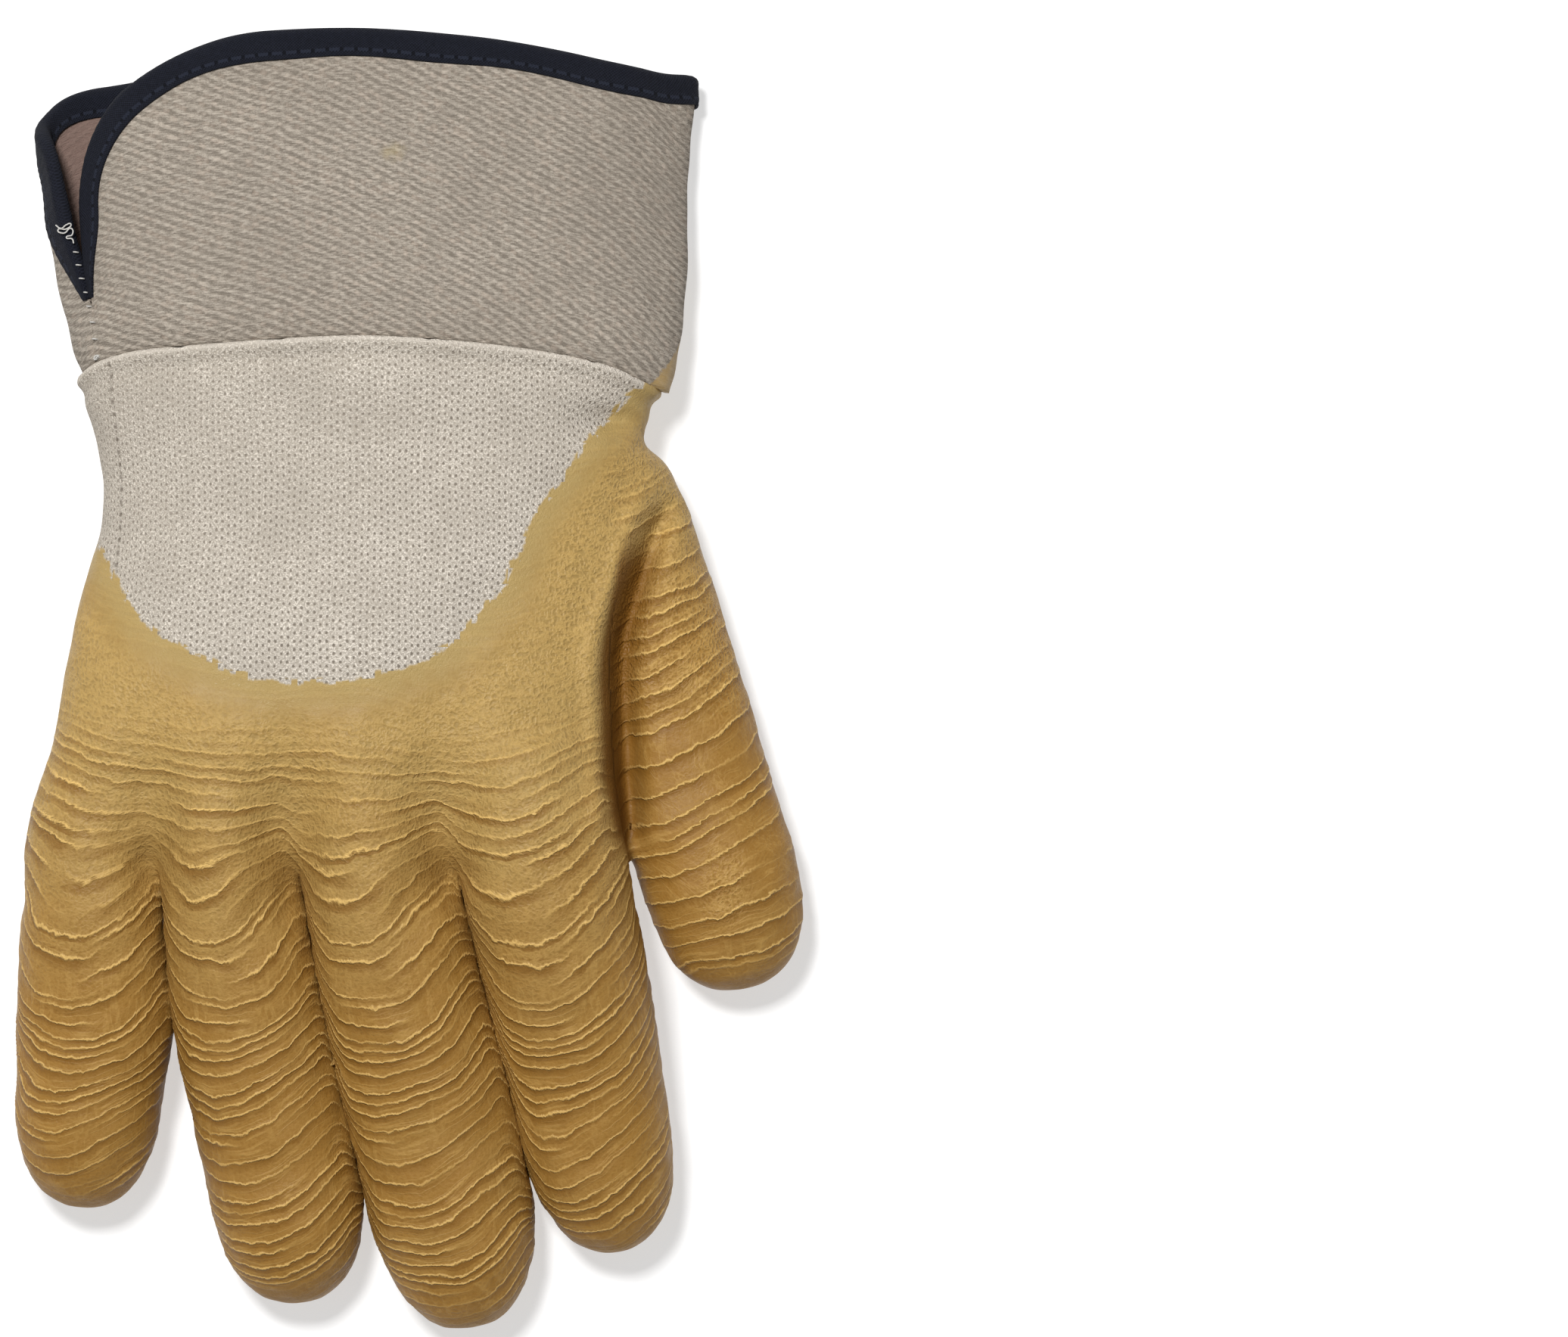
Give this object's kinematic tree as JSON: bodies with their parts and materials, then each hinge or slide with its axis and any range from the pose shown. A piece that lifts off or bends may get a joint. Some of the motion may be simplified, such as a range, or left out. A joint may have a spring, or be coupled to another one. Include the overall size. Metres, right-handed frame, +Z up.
{
  "type": "insulated rigger glove",
  "caption": "Padded work glove for the right hand, dipped in latex over palm and fingers, with a bare knit back and a slit canvas safety cuff bound in dark tape, lying palm down.",
  "frame": {"origin": "middle of the glove's outline seen from above, on the surface that it lies on", "axes": "+X towards the thumb side, +Y from the fingertips to the cuff, +Z up out of the back of the hand"},
  "size_m": [0.1634, 0.2706, 0.0438],
  "materials": {
    "latex": "matt ochre latex, finely creped",
    "knit": "bare cream interlock knit over padding",
    "drill": "undyed cotton drill, twill weave",
    "tape": "dark navy binding tape"
  },
  "bodies": {
    "root": {"latex_hand": "latex", "knit_back": "knit", "cuff": "drill", "cuff_binding": "tape"}
  },
  "joints": []
}
